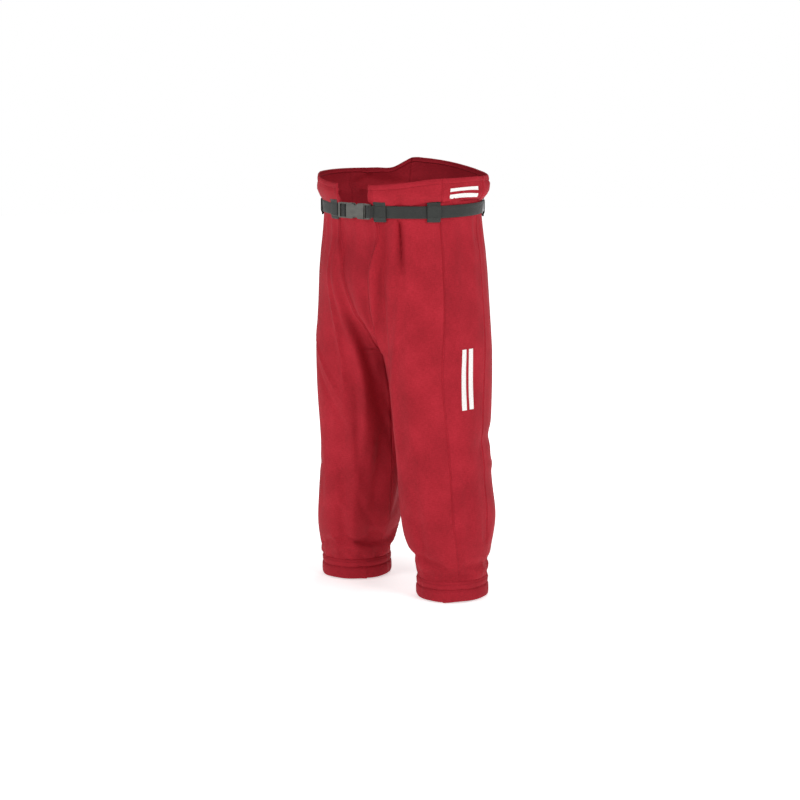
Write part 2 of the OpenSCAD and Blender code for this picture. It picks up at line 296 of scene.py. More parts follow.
# Creases: points along each, its width and its height in mm (a negative height is a valley)
LONG_CREASES = {  # down the leg, through (z, s)
    "left": [
        ([(-0.1, 0.191), (-0.05, 0.187), (0.04, 0.184)], 5, -7.0),
        ([(-0.13, 0.222), (-0.05, 0.212), (0.004, 0.206)], 8, 5.5),
        ([(-0.15, 0.16), (-0.06, 0.16), (0.006, 0.162)], 7, 4.4),
        ([(-0.29, 0.12), (-0.13, 0.116), (0.01, 0.112)], 9, -6.5),
        ([(-0.24, 0.15), (-0.1, 0.142), (-0.004, 0.136)], 8, 4.2),
        ([(-0.31, 0.06), (-0.22, 0.064), (-0.12, 0.08), (-0.006, 0.098)], 8, 8.0),
        ([(-0.46, 0.21), (-0.3, 0.203), (-0.1, 0.18)], 6, 3.8),
        ([(-0.5, 0.165), (-0.3, 0.156), (-0.12, 0.15)], 11, -5.0),
        ([(-0.62, 0.115), (-0.46, 0.1), (-0.3, 0.092)], 9, 3.4),
        ([(-0.62, 0.25), (-0.5, 0.262), (-0.36, 0.268)], 12, -3.4),
    ],
    "right": [
        ([(-0.36, 0.205), (-0.2, 0.165), (-0.03, 0.125)], 5, 4.8),
        ([(-0.6, 0.15), (-0.42, 0.14), (-0.22, 0.118), (-0.05, 0.104)], 9, 6.5),
        ([(-0.4, 0.1), (-0.24, 0.082), (-0.05, 0.08)], 9, -8.0),
        ([(-0.64, 0.08), (-0.46, 0.07), (-0.3, 0.055), (-0.18, 0.045)], 18, -13.0),
        ([(-0.6, 0.18), (-0.48, 0.19), (-0.36, 0.205)], 11, -4.0),
        ([(-0.25, 0.078), (-0.12, 0.08), (-0.01, 0.094)], 6, 3.6),
        ([(-0.46, 0.1), (-0.33, 0.092), (-0.25, 0.075)], 8, 3.5),
        ([(-0.46, 0.145), (-0.4, 0.15), (-0.3, 0.152)], 7, -3.5),
    ],
}
ROUND_CREASES = {  # round the leg, through (s, z)
    "left": [
        ([(0.24, -0.3), (0.34, -0.285), (0.46, -0.26)], 12, -2.0),
    ],
    "right": [
        ([(0.185, -0.345), (0.26, -0.275), (0.345, -0.2)], 6, 3.0),
        ([(0.17, -0.39), (0.25, -0.325), (0.33, -0.245)], 11, -2.4),
    ],
}
SLACK = [  # behind the knee and above the cuff of either leg, through (s, z)
    ([(0.42, -0.395), (0.62, -0.382), (0.9, -0.405)], 15, -4.5),
    ([(0.46, -0.425), (0.66, -0.43), (0.88, -0.418)], 9, 2.4),
    ([(0.44, -0.5), (0.64, -0.515), (0.92, -0.5)], 34, 4.5),
    ([(0.4, -0.585), (0.6, -0.592), (0.9, -0.583)], 8, -4.0),
    ([(0.05, -0.585), (0.2, -0.575), (0.36, -0.592)], 9, -2.4),
    ([(0.3, -0.43), (0.4, -0.452), (0.52, -0.47)], 8, -2.2),
    ([(0.36, -0.365), (0.44, -0.385), (0.53, -0.4)], 9, -2.0),
    ([(0.08, -0.47), (0.2, -0.5), (0.34, -0.53)], 14, -2.0),
]
PLAIN = {"left": (0.12, 0.23), "right": (0.1, 0.16)}  # no gathers hang here, the long creases do


def folds(s, z, side):
    """How far the laid cloth stands off the smooth shell."""
    rng = np.random.default_rng(11 if side > 0 else 23)
    d = 0 * s
    # the legs stand proud of the centre front panel
    middle = seams(z)[1]
    inside = ease((middle + 0.012 - s) / 0.024)
    above_crotch = ease((z + 0.235) / 0.06)
    d -= 5.5 * MM * inside * ease((-z - 0.012) / 0.04) * above_crotch
    behind = ease((1 - s) / 0.02) * ease((s - 0.955) / 0.02)
    d -= 2.5 * MM * behind * ease((-z - 0.02) / 0.05) * above_crotch
    half = "left" if side > 0 else "right"
    for points, width, height in LONG_CREASES[half]:
        d += path_fold(s, z, points, width, height)
    for points, width, height in ROUND_CREASES[half]:
        d += band_fold(s, z, points, width, height)
    # no crease runs into the cuff
    d *= ease((z - CUFF_TOP - 0.004) / 0.05)
    # gathers below and above the belt
    first_plain, last_plain = PLAIN[half]
    for _ in range(13):
        s0 = rng.uniform(0.12, 1.0)
        size = rng.uniform(0.6, 1.0)
        height = 3.2 * size * rng.choice([1, -0.8])
        if not first_plain < s0 < last_plain:
            reach = rng.uniform(0.025, 0.075)
            d += hanging(s, z, s0, reach, 4 + 4 * size, height, rng.uniform(-0.25, 0.25))
        s1 = rng.uniform(0.1, 1.0)
        reach = rng.uniform(0.018, 0.032)
        d += rising(s, z, s1, reach, 5 + 4 * size, 0.7 * height, rng.uniform(-0.3, 0.3), 0.004)
    # gathers above the cuff
    for n in range(24):
        s0 = (n + rng.uniform(0.1, 0.9)) / 24
        height = rng.uniform(1.2, 3.4) * rng.choice([1, -1])
        reach = rng.uniform(0.018, 0.06)
        lean = rng.uniform(-0.5, 0.5)
        start = CUFF_TOP - 0.001
        width = rng.uniform(3.5, 7)
        for turn in (-1, 0, 1):
            d += rising(s + turn, z, s0, reach, width, height, lean, start)
    for points, width, height in SLACK:
        d += band_fold(s, z, points, width, height)
    return d


def belt_hold(z):
    """1 where the belt presses the cloth flat, 0 away from it."""
    return 1 - ease((np.abs(z) - 9 * MM) / (7 * MM))


def outward(s, z, side):
    """Outward normals of the smooth shell."""
    step = 1e-4
    du = skin(s + step, z, side) - skin(s - step, z, side)
    dv = skin(s, z - step, side) - skin(s, z + step, side)
    return unit(np.cross(dv, du) * side)


ROWS, COLS = HEM_ROW + UPPER + RISE_ROWS + CURVE_ROWS + LEG_ROWS + 1, len(COLUMNS)
SLOT_ROW = HEM_ROW + UPPER - 1
MID_COLUMN = COLS // 2
PANEL_START = [0] + [int(np.argmax(PANEL_OF_COLUMN == k)) - 1 for k in range(1, 5)] + [COLS - 1]


def keep_apart(points, side, z):
    """The inner faces of the two legs never cross the middle."""
    x = side * points[..., 0]
    apart = np.where(z < CROTCH + 0.003, 1.0 * MM, 0.3 * MM)
    near = z < -0.15
    points[..., 0] = side * np.where(near, np.maximum(x, apart), x)
    points[: CROTCH_ROW + 1, [0, -1], 0] = 0


def vertex_index():
    """The welded vertex of every grid point, as [side][row, column], and how many there are."""
    left = np.arange(ROWS * COLS).reshape(ROWS, COLS)
    right = left + ROWS * COLS
    z = GRID["left"][1]
    for grid in (left, right):
        below = np.arange(ROWS) >= CROTCH_ROW
        grid[below, -1] = grid[below, 0]
        shut = z[:, MID_COLUMN] < GUSSET_END + 0.002
        gone = (PANEL_OF_COLUMN == 0) | (PANEL_OF_COLUMN == 4) | (np.arange(COLS) == PANEL_START[4])
        for j in np.nonzero(shut)[0]:
            grid[j, gone] = grid[j, 0]
    above = np.arange(ROWS) <= CROTCH_ROW
    right[above, 0] = left[above, 0]
    right[above, -1] = left[above, -1]
    used, packed = np.unique(np.stack([left, right]), return_inverse=True)
    packed = packed.reshape(2, ROWS, COLS)
    return {"left": packed[0], "right": packed[1]}, len(used)


GRID = {name: make_grid(side) for name, side in SIDES.items()}
INDEX, VERTEX_COUNT = vertex_index()


def weld(points):
    """Grid points of both halves as one list of welded vertices, averaged where they meet."""
    total, count = np.zeros((VERTEX_COUNT, 3)), np.zeros(VERTEX_COUNT)
    for name in SIDES:
        np.add.at(total, INDEX[name].ravel(), points[name].reshape(-1, 3))
        np.add.at(count, INDEX[name].ravel(), 1)
    return total / count[:, None]


def spread(vertices):
    """Welded vertices back as the grid points of both halves."""
    return {name: vertices[INDEX[name]] for name in SIDES}


def quads(index, rows, cols, side, skip=None):
    """Faces of a stretch of grid; a quad whose corners coincide becomes a triangle or goes."""
    faces = []
    for j in range(*rows):
        for i in range(*cols):
            if skip and skip(j, i):
                continue
            ring = [index[j, i], index[j + 1, i], index[j + 1, i + 1], index[j, i + 1]]
            ring = [int(v) for k, v in enumerate(ring) if v != ring[k - 1]]
            if len(set(ring)) > 2:
                faces.append(ring if side > 0 else ring[::-1])
    return faces


def in_slot(j, i):
    """The open front, between the flaps."""
    return i < PANEL_START[1] and j < SLOT_ROW


def laid_out():
    """The shell with its folds laid, before it settles."""
    points = {}
    for name, side in SIDES.items():
        s, z = GRID[name]
        near_crotch = ease(np.hypot(np.minimum(s, 1 - s) * 0.5, z - CROTCH) / 0.03)
        lift = folds(s, z, side) * (1 - belt_hold(z)) * near_crotch
        points[name] = skin(s, z, side) + outward(s, z, side) * lift[..., None]
        keep_apart(points[name], side, z)
    return points


# ---- settling the cloth

def link(obj):
    bpy.context.scene.collection.objects.link(obj)
    return obj


def mesh_object(name, vertices, faces):
    mesh = bpy.data.meshes.new(name)
    mesh.from_pydata([tuple(v) for v in np.asarray(vertices, float)], [], faces)
    mesh.validate()
    mesh.update()
    return link(bpy.data.objects.new(name, mesh))


SETTLE_FRAMES = 26
MOST_SHIFT = 6.5 * MM


def settle(points):
    """Lets the laid-out shell settle as cloth, held by the belt and the cuffs, with a little slack in it."""
    start = weld(points)
    faces = []
    for name, side in SIDES.items():
        faces += quads(INDEX[name], (0, ROWS - 1), (0, COLS - 1), side, in_slot)
    obj = mesh_object("settling", start, faces)
    hold = obj.vertex_groups.new(name="hold")
    loose = obj.vertex_groups.new(name="slack")
    z = start[:, 2]
    held = np.abs(z) < 8 * MM
    held |= z < CUFF_TOP + 1.5 * MM
    for v in np.nonzero(held)[0]:
        hold.add([int(v)], 1.0, "REPLACE")
    slack = 0.35 + 0.65 * ease((-z - 0.25) / 0.15)
    for v, w in enumerate(slack):
        loose.add([v], float(w), "REPLACE")
    cloth = obj.modifiers.new("cloth", "CLOTH").settings
    for name, value in {
        "quality": 5, "mass": 0.2, "tension_stiffness": 18, "compression_stiffness": 18,
        "shear_stiffness": 6, "bending_stiffness": 0.9, "air_damping": 2, "vertex_group_mass": "hold",
        "vertex_group_shrink": "slack", "shrink_min": 0, "shrink_max": -0.028, "use_pressure": True,
        "uniform_pressure_force": 0.6,
    }.items():
        setattr(cloth, name, value)
    cloth.effector_weights.gravity = 0.15
    scene = bpy.context.scene
    for step in range(1, SETTLE_FRAMES + 1):
        scene.frame_set(step)
    graph = bpy.context.evaluated_depsgraph_get()
    done = obj.evaluated_get(graph).to_mesh()
    moved = np.zeros(len(done.vertices) * 3)
    done.vertices.foreach_get("co", moved)
    shift = moved.reshape(-1, 3) - start
    obj.evaluated_get(graph).to_mesh_clear()
    scene.frame_set(1)
    bpy.data.objects.remove(obj)
    size = np.maximum(np.linalg.norm(shift, axis=1, keepdims=True), 1e-9)
    shift *= np.tanh(size / MOST_SHIFT) * MOST_SHIFT / size
    return spread(start + shift)


def grid_normals(points, side):
    du = np.gradient(points, axis=1)
    dv = np.gradient(points, axis=0)
    return unit(np.cross(dv, du) * side)


def tailor(points):
    """Presses the cloth under the belt and works the seams and hems into it."""
    for name, side in SIDES.items():
        s, z = GRID[name]
        p = points[name]
        flat = belt_hold(z)[..., None]
        p[:] = p * (1 - flat) + (skin(s, z, side) - outward(s, z, side) * 0.3 * MM) * flat
        n = grid_normals(p, side)
        lift = np.zeros(s.shape)
        half = half_round(z)
        for k in (1, 2, 3, 4):
            line = seams(z)[k]
            away = (s - line) * half / MM
            after = np.where(away >= 0, bump(away - 3.0, 2.2), bump(away + 3.0, 2.2) * 0.25)
            lift += (0.55 * after - 1.0 * bump(away, 0.9)) * MM * (z > GUSSET_END)
        inseam = np.minimum(s, 1 - s) * half / MM
        lift += (0.5 * bump(inseam - 3, 2.2) - 0.9 * bump(inseam, 0.9)) * MM * (z < GUSSET_END)
        down = (top_edge(s, side) - z) / MM
        waist = 0.75 * ease(down / 1.2) * (down < HEM_FOLD) - 0.7 * bump(down - HEM_SEAM, 0.9)
        lift += waist * MM * (z > 0.02)
        edge = (s - SLOT_S) * WAIST_HALF_MM
        hem = (z > 8 * MM) & (down > HEM_FOLD)
        lift += (0.75 * (edge < HEM_FOLD) - 0.7 * bump(edge - HEM_SEAM, 1.0)) * MM * hem * (s > SLOT_S - 1e-4)
        p += n * (lift * (1 - 0.8 * belt_hold(z)))[..., None]
        keep_apart(p, side, z)
    return spread(weld(points))


# ---- meshes

def vertex_normals(verts, faces):
    n = np.zeros_like(verts)
    for f in faces:
        a, b, c = verts[f[0]], verts[f[1]], verts[f[2]]
        d = verts[f[-1]]
        face = np.cross(b - a, c - a) + np.cross(c - a, d - a)
        n[f] += face
    return unit(n)


def distances(points):
    """How far along a path each of its points lies."""
    return np.concatenate([[0], np.cumsum(np.linalg.norm(np.diff(points, axis=0), axis=1))])


def closed(verts, faces, thickness):
    """Gives a sheet of faces a thickness, inwards, and closes its edges."""
    verts = np.asarray(verts, float)
    count = len(verts)
    inner = verts - vertex_normals(verts, faces) * thickness
    edges = {(a, b) for f in faces for a, b in zip(f, f[1:] + f[:1])}
    rim = [[b, a, a + count, b + count] for a, b in sorted(edges) if (b, a) not in edges]
    back = [[v + count for v in reversed(f)] for f in faces]
    return np.concatenate([verts, inner]), faces + back + rim


def build(name, verts, faces, uv=None, crease=55):
    """A smooth-shaded mesh object; uv holds one coordinate in metres for each vertex."""
    obj = mesh_object(name, verts, faces)
    mesh = obj.data
    if uv is not None:
        layer = mesh.uv_layers.new(name="cloth")
        loops = np.zeros(len(mesh.loops), dtype=np.int64)
        mesh.loops.foreach_get("vertex_index", loops)
        layer.data.foreach_set("uv", np.asarray(uv, float)[loops].ravel())
    mesh.shade_smooth()
    mesh.set_sharp_from_angle(angle=math.radians(crease))
    return obj


def cut_out(name, parts, thickness):
    """A sewn panel: a closed sheet from stretches of the grid, (side, rows, columns, grain column, skip)."""
    faces, uv = [], np.zeros((VERTEX_COUNT, 2))
    for half, rows, cols, grain, skip in parts:
        index, points, side = INDEX[half], CLOTH[half], SIDES[half]
        faces += quads(index, rows, cols, side, skip)
        step = np.linalg.norm(np.diff(points, axis=1), axis=2)
        across = np.concatenate([np.zeros((ROWS, 1)), np.cumsum(step, axis=1)], axis=1)
        across = (across - across[:, grain : grain + 1]) * side
        block = np.s_[rows[0] : rows[1] + 1, cols[0] : cols[1] + 1]
        uv[index[block], 0] = across[block]
        uv[index[block], 1] = GRID[half][1][block]
    used = sorted({v for f in faces for v in f})
    place = {v: k for k, v in enumerate(used)}
    faces = [[place[v] for v in f] for f in faces]
    verts, faces = closed(WELDED[used], faces, thickness)
    return build(name, verts, faces, np.tile(uv[used], (2, 1)))


def on_cloth(half, s, z, out=0.0):
    """Points of the finished cloth at (s, z), raised by out, and the normals there."""
    gs, gz = GRID[half]
    s, z = np.broadcast_arrays(np.asarray(s, float), np.asarray(z, float))
    spots, normals = np.zeros(s.shape + (3,)), np.zeros(s.shape + (3,))
    for k in np.ndindex(s.shape):
        row = np.interp(-z[k], -gz[:, MID_COLUMN], np.arange(ROWS))
        for _ in range(4):
            j = min(int(row), ROWS - 2)
            f = row - j
            col = np.interp(s[k], gs[j] * (1 - f) + gs[j + 1] * f, np.arange(COLS))
            i = min(int(col), COLS - 2)
            g = col - i
            row = np.interp(-z[k], -(gz[:, i] * (1 - g) + gz[:, i + 1] * g), np.arange(ROWS))
        j = min(int(row), ROWS - 2)
        f = row - j
        for field, found in ((CLOTH[half], spots), (NORMALS[half], normals)):
            low = field[j, i] * (1 - g) + field[j, i + 1] * g
            high = field[j + 1, i] * (1 - g) + field[j + 1, i + 1] * g
            found[k] = low * (1 - f) + high * f
    normals = unit(normals)
    return spots + normals * out, normals


def strip(name, centres, normals, width_dir, width, thickness, bulge=0.0):
    """Webbing or tape along a path; normals face outward and width_dir points across it."""
    across = np.array([-1, -0.985, -0.94, -0.6, -0.2, 0.2, 0.6, 0.94, 0.985, 1])
    thick = np.array([0.25, 0.7, 1, 1, 1, 1, 1, 1, 0.7, 0.25])
    section = [(a, t / 2 + bulge * (1 - a * a)) for a, t in zip(across, thick)]
    section += [(a, -t / 2 + bulge * (1 - a * a)) for a, t in zip(across[::-1], thick[::-1])]
    centres, normals, width_dir = (np.asarray(v, float) for v in (centres, normals, width_dir))
    width_dir = np.broadcast_to(width_dir, centres.shape)
    count, size = len(centres), len(section)
    verts = [
        centres[k] + width_dir[k] * a * width / 2 + normals[k] * t * thickness
        for k in range(count)
        for a, t in section
    ]
    run = distances(centres)
    uv = [(run[k], a * width / 2) for k in range(count) for a, _ in section]
    faces = []
    for k in range(count - 1):
        for i in range(size):
            a, b = k * size + i, k * size + (i + 1) % size
            faces.append([a, b, b + size, a + size])
    faces.append(list(range(size))[::-1])
    faces.append([(count - 1) * size + i for i in range(size)])
    turn = np.cross(centres[1] - centres[0], width_dir[0]) @ normals[0]
    if turn > 0:
        faces = [f[::-1] for f in faces]
    return build(name, verts, faces, uv, crease=70)


def thread(name, runs, pitch=3.2 * MM, length=2.3 * MM, radius=0.34 * MM):
    """Stitches of thread along runs of (points, normals): each a small raised loop of yarn."""
    verts, faces, uv = [], [], []
    profile = [(-1, 0.15, -0.8), (-0.72, 0.8, -0.1), (-0.25, 1, 0.35),
            (0.25, 1, 0.35), (0.72, 0.8, -0.1), (1, 0.15, -0.8)]
    for points, normals in runs:
        run = distances(points)
        for middle in np.arange(pitch / 2, run[-1], pitch):
            stations = [middle - length / 2, middle, middle + length / 2]
            before, here, after = np.array([np.interp(stations, run, points[:, a]) for a in range(3)]).T
            up = np.array([np.interp(middle, run, normals[:, a]) for a in range(3)])
            along = (after - before) / 2
            aside = np.cross(up, along)
            aside /= max(np.linalg.norm(aside), 1e-9)
            base = len(verts)
            for t, size, lift in profile:
                for k in range(6):
                    angle = math.tau * k / 6
                    spot = here + along * t + aside * radius * size * math.cos(angle)
                    verts.append(spot + up * radius * (size * math.sin(angle) + lift))
                    uv.append((t * length / 2, radius * angle))
            for r in range(5):
                for k in range(6):
                    a, b = base + 6 * r + k, base + 6 * r + (k + 1) % 6
                    faces.append([a, b, b + 6, a + 6])
            faces.append([base + k for k in range(6)][::-1])
            faces.append([base + 30 + k for k in range(6)])
    return build(name, verts, faces, uv, crease=80)


# ---- materials

def node(tree, kind, inputs=None, **settings):
    """A shader node; inputs are links or constants, settings its own properties."""
    made = tree.nodes.new("ShaderNode" + kind)
    for key, value in settings.items():
        setattr(made, key, value)
    for key, value in (inputs or {}).items():
        socket = made.inputs[key]
        if isinstance(value, bpy.types.NodeSocket):
            tree.links.new(value, socket)
        else:
            socket.default_value = value
    return made


def new_material(name, **constants):
    """A material, its node tree and its main shader with constants on the named sockets."""
    material = bpy.data.materials.new(name)
    material.use_nodes = True
    shader = material.node_tree.nodes["Principled BSDF"]
    for key, value in constants.items():
        shader.inputs[key.replace("_", " ")].default_value = value
    return material, material.node_tree, shader


def ramp(tree, factor, stops):
    made = node(tree, "ValToRGB", {"Fac": factor})
    band = made.color_ramp
    while len(band.elements) < len(stops):
        band.elements.new(0.5)
    for element, (at, colour) in zip(band.elements, stops):
        element.position = at
        element.color = (*colour, 1)
    return made.outputs["Color"]


def spread_of(tree, factor, low, high):
    return node(tree, "MapRange", {"Value": factor, "To Min": low, "To Max": high}).outputs["Result"]


def mixed(tree, a, b, how="MULTIPLY"):
    return node(tree, "Math", {0: a, 1: b}, operation=how).outputs[0]


def weighted(tree, *parts):
    total = mixed(tree, *parts[0])
    for part in parts[1:]:
        total = mixed(tree, total, mixed(tree, *part), "ADD")
    return total


def feed(shader, **links):
    for socket, value in links.items():
        shader.id_data.links.new(value, shader.inputs[socket.replace("_", " ")])


def noise(tree, vector, scale, detail=3.0, rough=0.5):
    made = node(tree, "TexNoise", {"Vector": vector, "Scale": scale, "Detail": detail, "Roughness": rough})
    return made.outputs["Fac"]


def threads(tree, vector, pitch, axis, wobble=0.0):
    """Parallel ribs, pitch metres apart."""
    inputs = {"Vector": vector, "Scale": math.tau / 20 / pitch, "Distortion": wobble, "Detail": 1.0}
    return node(tree, "TexWave", inputs, bands_direction=axis).outputs["Fac"]


def in_metres(tree):
    return node(tree, "UVMap", uv_map="cloth").outputs["UV"]


def stretched(tree, vector, scale):
    return node(tree, "Mapping", {"Vector": vector, "Scale": scale}).outputs["Vector"]


def shell_cloth(name, dark, middle, light, rib):
    """Brushed stretch weave: fine crosswise ribs, slubs along the yarn, faint clouding, a soft sheen."""
    material, tree, shader = new_material(
        name, Specular_IOR_Level=0.14, Sheen_Weight=0.06, Sheen_Roughness=0.4, Sheen_Tint=(1.0, 0.5, 0.55, 1)
    )
    uv = in_metres(tree)
    cross = threads(tree, uv, rib, "Y", 0.6)
    down = threads(tree, uv, rib * 0.8, "X", 0.6)
    weave = weighted(tree, (cross, 0.65), (down, 0.35))
    slub = noise(tree, stretched(tree, uv, (150, 900, 1)), 1.0, 2.0)
    yarn = noise(tree, stretched(tree, uv, (1100, 160, 1)), 1.0, 2.0)
    cloud = noise(tree, uv, 16.0, 4.0, 0.55)
    fuzz = noise(tree, uv, 2600.0, 2.0)
    tone = weighted(tree, (slub, 0.3), (yarn, 0.22), (cloud, 0.38), (weave, 0.1))
    height = mixed(tree, weave, mixed(tree, fuzz, 0.5), "ADD")
    fine = node(tree, "Bump", {"Strength": 0.34, "Distance": 0.00022, "Height": height})
    broad = node(tree, "Bump", {"Strength": 0.22, "Distance": 0.0012, "Height": noise(tree, uv, 120.0, 3.0),
            "Normal": fine.outputs["Normal"]})
    feed(shader, Base_Color=ramp(tree, tone, [(0.3, dark), (0.5, middle), (0.72, light)]),
         Roughness=spread_of(tree, mixed(tree, slub, cloud, "ADD"), 0.56, 0.78), Normal=broad.outputs["Normal"])
    return material


def webbing_cloth(name, dark, light, rough_weave=0.0):
    """Coarse belt webbing: chevron ribs across the strap and fine picks along it."""
    material, tree, shader = new_material(name, Specular_IOR_Level=0.35, Sheen_Weight=0.12, Sheen_Roughness=0.5)
    uv = in_metres(tree)
    parts = node(tree, "SeparateXYZ", {"Vector": uv})
    zigzag = node(tree, "Math", {0: parts.outputs["Y"], 1: 0.0026}, operation="PINGPONG").outputs[0]
    skewed = mixed(tree, parts.outputs["X"], zigzag, "ADD")
    vector = node(tree, "CombineXYZ", {"X": skewed, "Y": parts.outputs["Y"]}).outputs["Vector"]
    rib = threads(tree, vector, 0.0015, "X", 0.3)
    pick = threads(tree, uv, 0.0009, "Y", 0.3)
    fluff = noise(tree, uv, 900.0 + 900 * rough_weave, 3.0)
    wear = noise(tree, uv, 45.0, 4.0)
    tone = weighted(tree, (rib, 0.42), (pick, 0.16), (fluff, 0.26 + 0.25 * rough_weave), (wear, 0.18))
    relief = node(tree, "Bump", {"Strength": 0.6, "Distance": 0.00035 + 0.0002 * rough_weave, "Height": tone})
    feed(shader, Base_Color=ramp(tree, tone, [(0.25, dark), (0.85, light)]),
         Roughness=spread_of(tree, tone, 0.82, 0.58), Normal=relief.outputs["Normal"])
    return material


def moulded_plastic(name, dark, light):
    """Acetal with a fine spark-eroded grain, scuffed a little on its broad faces."""
    material, tree, shader = new_material(
        name, Specular_IOR_Level=0.5, IOR=1.48, Coat_Weight=0.08, Coat_Roughness=0.35
    )
    spot = node(tree, "TexCoord").outputs["Object"]
    grain = noise(tree, spot, 2600.0, 3.0, 0.6)
    flow = noise(tree, stretched(tree, spot, (60, 140, 190)), 1.0, 3.0)
    scuff = noise(tree, stretched(tree, spot, (900, 200, 90)), 1.0, 5.0, 0.7)
    worn = ramp(tree, scuff, [(0.6, (0, 0, 0)), (0.74, (1, 1, 1))])
    tone = weighted(tree, (flow, 0.7), (worn, 0.25))
    height = mixed(tree, grain, worn, "SUBTRACT")
    relief = node(tree, "Bump", {"Strength": 0.3, "Distance": 0.00012, "Height": height})
    feed(shader, Base_Color=ramp(tree, tone, [(0.2, dark), (0.8, light)]),
         Roughness=spread_of(tree, mixed(tree, grain, worn, "ADD"), 0.36, 0.62), Normal=relief.outputs["Normal"])
    return material


def print_film(name):
    """A matt transfer print: the weave shows faintly through a thin white film."""
    material, tree, shader = new_material(name, Specular_IOR_Level=0.4)
    uv = in_metres(tree)
    weave = mixed(tree, threads(tree, uv, 0.0009, "X", 0.5), threads(tree, uv, 0.0009, "Y", 0.5), "ADD")
    fleck = noise(tree, uv, 500.0, 4.0)
    relief = node(tree, "Bump", {"Strength": 0.25, "Distance": 0.00015, "Height": weave})
    feed(shader, Base_Color=ramp(tree, fleck, [(0.25, (0.74, 0.7, 0.68)), (0.6, (0.9, 0.88, 0.86))]),
         Roughness=spread_of(tree, fleck, 0.42, 0.6), Normal=relief.outputs["Normal"])
    return material


# Dark, middle and light tones of each cloth, and the pitch of its ribs
RED = shell_cloth("shell_weave", (0.215, 0.006, 0.012), (0.362, 0.014, 0.025), (0.52, 0.026, 0.044), 1.15 * MM)
PANEL = shell_cloth(
    "panel_weave", (0.205, 0.006, 0.012), (0.352, 0.013, 0.024), (0.505, 0.025, 0.042), 1.15 * MM
)
HEM = shell_cloth("hem_weave", (0.24, 0.007, 0.014), (0.35, 0.013, 0.024), (0.47, 0.022, 0.038), 0.8 * MM)
YARN = shell_cloth(
    "sewing_thread", (0.2, 0.006, 0.012), (0.3, 0.01, 0.02), (0.4, 0.018, 0.032), 0.3 * MM
)
STRAP = webbing_cloth("belt_weave", (0.009, 0.01, 0.009), (0.038, 0.04, 0.037))
LOOP = webbing_cloth("loop_weave", (0.006, 0.007, 0.006), (0.034, 0.038, 0.034), 1.0)
BLACK_YARN = webbing_cloth("belt_thread", (0.01, 0.011, 0.01), (0.04, 0.044, 0.042))
PLASTIC = moulded_plastic("buckle_acetal", (0.072, 0.072, 0.064), (0.155, 0.154, 0.138))
FILM = print_film("white_transfer")


def dress(obj, material):
    """Gives an object its one material."""
    obj.data.materials.clear()
    obj.data.materials.append(material)
    return obj


# ---- the shell

laid = laid_out()
CLOTH = tailor(settle(laid))
WELDED = weld(CLOTH)
NORMALS = {name: grid_normals(CLOTH[name], side) for name, side in SIDES.items()}

CLOTH_T = 0.9 * MM
HEM_T = 2.3 * MM
GUSSET_ROW = int(np.argmax(GRID["left"][1][:, MID_COLUMN] < GUSSET_END + 0.002))


def hang(obj):
    """Cloth that crosses the hip: its transform is baked into its mesh, and it is attached to no body."""
    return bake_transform(obj)


def below_hems(j, i):
    """Left out of the front panels: the flaps' own hems."""
    return j < SLOT_ROW and i < FLAP_COLUMN


first, second, third, fourth, end = PANEL_START[1:]
for half in SIDES:
    legs = (CROTCH_ROW, GUSSET_ROW)
    front, side, back = (
        [(half, (HEM_ROW, ROWS - 1), (a, b), (a + b) // 2, skip)]
        for a, b, skip in ((first, second, below_hems), (second, third, None), (third, fourth, None))
    )
    gusset = [(half, legs, (0, first), 0, None), (half, legs, (fourth, end), end, None)]
    for name, parts, material, slot, nodes, flat, area in (
        ("front_panel", front, RED, "shell_fabric", ("front_panel_", "leg_front_"), (0.215, 0.7), 0.092),
        ("side_panel", side, PANEL, "panel_fabric", ("side_panel_", "leg_side_"), (0.095, 0.7), 0.05),
        ("back_panel", back, RED, "shell_fabric", ("seat_panel_", "leg_back_"), (0.285, 0.72), 0.115),
        ("gusset", gusset, PANEL, "panel_fabric", ("leg_gusset_",), (0.055, 0.32), 0.0075),
    ):
        obj = cut_out(f"{name}_cloth_{half}", parts, CLOTH_T)
        dress(obj, material)
        hang(obj)
        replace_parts(obj, *(n + half for n in nodes))
    hem = dress(cut_out(f"waist_hem_fold_{half}", [(half, (0, HEM_ROW), (first, fourth), second, None)], HEM_T),
            HEM)
    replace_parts(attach(hem, "hips"), "waist_hem_" + half)
    flap = dress(cut_out(f"flap_hem_fold_{half}",
            [(half, (HEM_ROW, SLOT_ROW), (first, FLAP_COLUMN), first, None)], HEM_T),
            HEM)
    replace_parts(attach(flap, "hips"), "flap_hem_" + half)

centre_front = cut_out(
    "centre_front_cloth", [(h, (SLOT_ROW, CROTCH_ROW), (0, first), 0, None) for h in SIDES], CLOTH_T
)
centre_back = cut_out(
    "centre_back_cloth", [(h, (HEM_ROW, CROTCH_ROW), (fourth, end), end, None) for h in SIDES], CLOTH_T
)
back_hem = cut_out(
    "waist_hem_fold_back", [(h, (0, HEM_ROW), (fourth, end), end, None) for h in SIDES], HEM_T
)
for obj, cad_node, flat, area in (
    (centre_front, "centre_front_panel", (0.1, 0.3), 0.0135),
    (centre_back, "centre_back_panel", (0.16, 0.4), 0.028),
):
    dress(obj, PANEL)
    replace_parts(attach(obj, "hips"), cad_node)
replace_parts(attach(dress(back_hem, HEM), "hips"), "waist_hem_back")


# ---- cuffs

